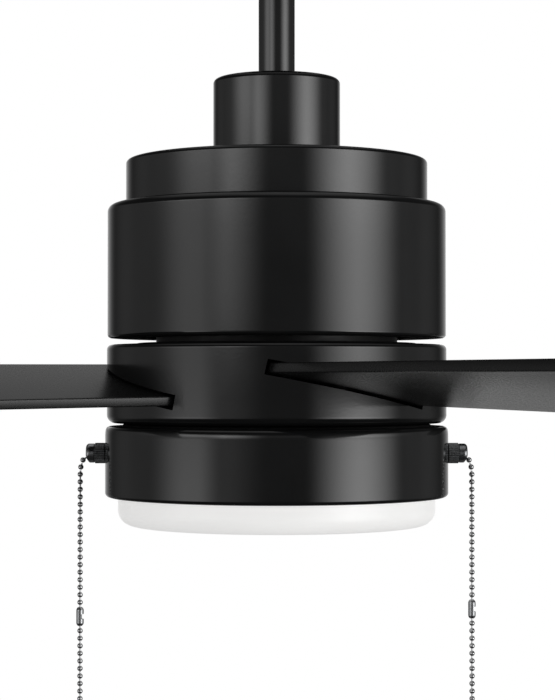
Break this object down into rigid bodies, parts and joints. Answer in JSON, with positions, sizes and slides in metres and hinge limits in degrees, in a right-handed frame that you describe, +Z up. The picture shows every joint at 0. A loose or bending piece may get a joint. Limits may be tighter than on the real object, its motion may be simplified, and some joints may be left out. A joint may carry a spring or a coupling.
{
  "type": "ceiling fan with light",
  "caption": "Drum-shaped ceiling fan on a short downrod: pitched blades slot into a turning hub, over a flat drum light with a pull chain at each side.",
  "frame": {"origin": "centre of the ceiling face, on the top of the ceiling bracket; the fan hangs below it", "axes": "+Z up out of the ceiling face, along the rotor's axis; the pull chains hang at -X (fan) and +X (light); -Y is the front"},
  "size_m": [1.2292, 1.2292, 0.57],
  "materials": {
    "black_enamel": "satin black enamel",
    "blade_black": "matt black film over plywood",
    "zinc_steel": "zinc plated",
    "cast_aluminium": "as cast",
    "lamination_steel": "varnished laminations",
    "copper": "enamelled copper wire",
    "wire_sheath": "woven sleeve",
    "nylon": "glass-filled nylon",
    "switch_plastic": "moulded",
    "driver_case": "moulded",
    "circuit_board": "white solder mask",
    "led_phosphor": "silicone dome",
    "opal_diffuser": "satin opal acrylic",
    "gunmetal": "dark nickel plate"
  },
  "bodies": {
    "ceiling_mount": {"ceiling_bracket": "zinc_steel", "canopy": "black_enamel", "canopy_screws": "black_enamel"},
    "fan_body": {"hanger_ball": "nylon", "downrod": "black_enamel", "cross_pins": "zinc_steel", "set_screws": "zinc_steel", "yoke": "zinc_steel", "yoke_cotter": "zinc_steel", "motor_shaft": "zinc_steel", "shaft_nuts": "zinc_steel", "housing_plate": "zinc_steel", "main_housing": "black_enamel", "upper_housing": "black_enamel", "housing_screws": "zinc_steel", "stator_core": "lamination_steel", "stator_windings": "copper", "bearing_inner_races": "zinc_steel", "lead_wires": "wire_sheath", "kit_plate": "zinc_steel", "kit_housing": "black_enamel", "kit_screws": "zinc_steel", "fan_switch": "switch_plastic", "light_switch": "switch_plastic", "switch_ring_nuts": "gunmetal", "chain_guides": "gunmetal", "capacitor": "switch_plastic", "reverse_switch": "switch_plastic", "heatsink_plate": "cast_aluminium", "led_board": "circuit_board", "led_chips": "led_phosphor", "led_driver": "driver_case"},
    "coupling_cover": {"coupling_cover": "black_enamel"},
    "rotor": {"rotor_top_shell": "cast_aluminium", "rotor_bottom_shell": "cast_aluminium", "rotor_ring": "lamination_steel", "bearing_outer_races": "zinc_steel", "bearing_balls": "zinc_steel", "rotor_screws": "zinc_steel", "blade_hub": "black_enamel", "hub_screws": "zinc_steel", "hub_base_plate": "black_enamel", "blade_1": "blade_black", "blade_2": "blade_black", "blade_3": "blade_black", "blade_4": "blade_black", "blade_screws": "zinc_steel"},
    "reverse_slider": {"reverse_slider": "switch_plastic"},
    "diffuser": {"diffuser": "opal_diffuser"},
    "fan_bead_1": {"fan_bead_1": "gunmetal"},
    "fan_bead_2": {"fan_bead_2": "gunmetal"},
    "fan_bead_3": {"fan_bead_3": "gunmetal"},
    "fan_chain_upper": {"fan_chain_upper": "gunmetal"},
    "fan_chain_lower": {"fan_chain_lower": "gunmetal"},
    "light_bead_1": {"light_bead_1": "gunmetal"},
    "light_bead_2": {"light_bead_2": "gunmetal"},
    "light_bead_3": {"light_bead_3": "gunmetal"},
    "light_chain_upper": {"light_chain_upper": "gunmetal"},
    "light_chain_lower": {"light_chain_lower": "gunmetal"}
  },
  "joints": [
    {"name": "hanger_tilt", "type": "hinge", "parent": "ceiling_mount", "child": "fan_body", "pos_m": [0, 0, -0.025], "axis": [0, 1, 0], "range_deg": [-12, 12]},
    {"name": "cover_lift", "type": "slide", "parent": "fan_body", "child": "coupling_cover", "axis": [0, 0, 1], "range_m": [0, 0.07]},
    {"name": "rotor_spin", "type": "hinge", "parent": "fan_body", "child": "rotor", "pos_m": [0, 0, -0.3176], "axis": [0, 0, 1], "continuous": true},
    {"name": "reverse_switch_slide", "type": "slide", "parent": "fan_body", "child": "reverse_slider", "axis": [1, 0, 0], "range_m": [-0.003, 0.003]},
    {"name": "diffuser_twist", "type": "hinge", "parent": "fan_body", "child": "diffuser", "pos_m": [0, 0, -0.3836], "axis": [0, 0, 1], "range_deg": [0, 15]},
    {"name": "fan_pull", "type": "slide", "parent": "fan_body", "child": "fan_bead_3", "axis": [-0.0542, 0, -0.9985], "range_m": [0, 0.00646], "stiffness_N_per_m": 600, "springref_m": -0.008},
    {"name": "fan_bead_2_slide", "type": "slide", "parent": "fan_body", "child": "fan_bead_2", "axis": [-0.2231, 0, -0.9748], "range_m": [0, 0.00644]},
    {"name": "fan_bead_1_slide", "type": "slide", "parent": "fan_body", "child": "fan_bead_1", "axis": [-0.6646, 0, -0.7472], "range_m": [0, 0.00641]},
    {"name": "fan_chain_swing", "type": "hinge", "parent": "fan_bead_3", "child": "fan_chain_upper", "pos_m": [-0.11465, 0, -0.36675], "axis": [0, 1, 0], "range_deg": [-20, 20]},
    {"name": "fan_chain_lower_swing", "type": "hinge", "parent": "fan_chain_upper", "child": "fan_chain_lower", "pos_m": [-0.115, 0, -0.4502], "axis": [1, 0, 0], "range_deg": [-15, 15]},
    {"name": "light_pull", "type": "slide", "parent": "fan_body", "child": "light_bead_3", "axis": [0.0542, 0, -0.9985], "range_m": [0, 0.00646], "stiffness_N_per_m": 600, "springref_m": -0.008},
    {"name": "light_bead_2_slide", "type": "slide", "parent": "fan_body", "child": "light_bead_2", "axis": [0.2231, 0, -0.9748], "range_m": [0, 0.00644]},
    {"name": "light_bead_1_slide", "type": "slide", "parent": "fan_body", "child": "light_bead_1", "axis": [0.6646, 0, -0.7472], "range_m": [0, 0.00641]},
    {"name": "light_chain_swing", "type": "hinge", "parent": "light_bead_3", "child": "light_chain_upper", "pos_m": [0.11385, 0, -0.36675], "axis": [0, 1, 0], "range_deg": [-20, 20]},
    {"name": "light_chain_lower_swing", "type": "hinge", "parent": "light_chain_upper", "child": "light_chain_lower", "pos_m": [0.1142, 0, -0.4458], "axis": [1, 0, 0], "range_deg": [-15, 15]}
  ],
  "couplings": [
    {"joint": "fan_bead_2_slide", "follows": "fan_pull", "ratio": 0.9885},
    {"joint": "fan_bead_1_slide", "follows": "fan_pull", "ratio": 0.9841},
    {"joint": "light_bead_2_slide", "follows": "light_pull", "ratio": 0.9885},
    {"joint": "light_bead_1_slide", "follows": "light_pull", "ratio": 0.9841}
  ]
}
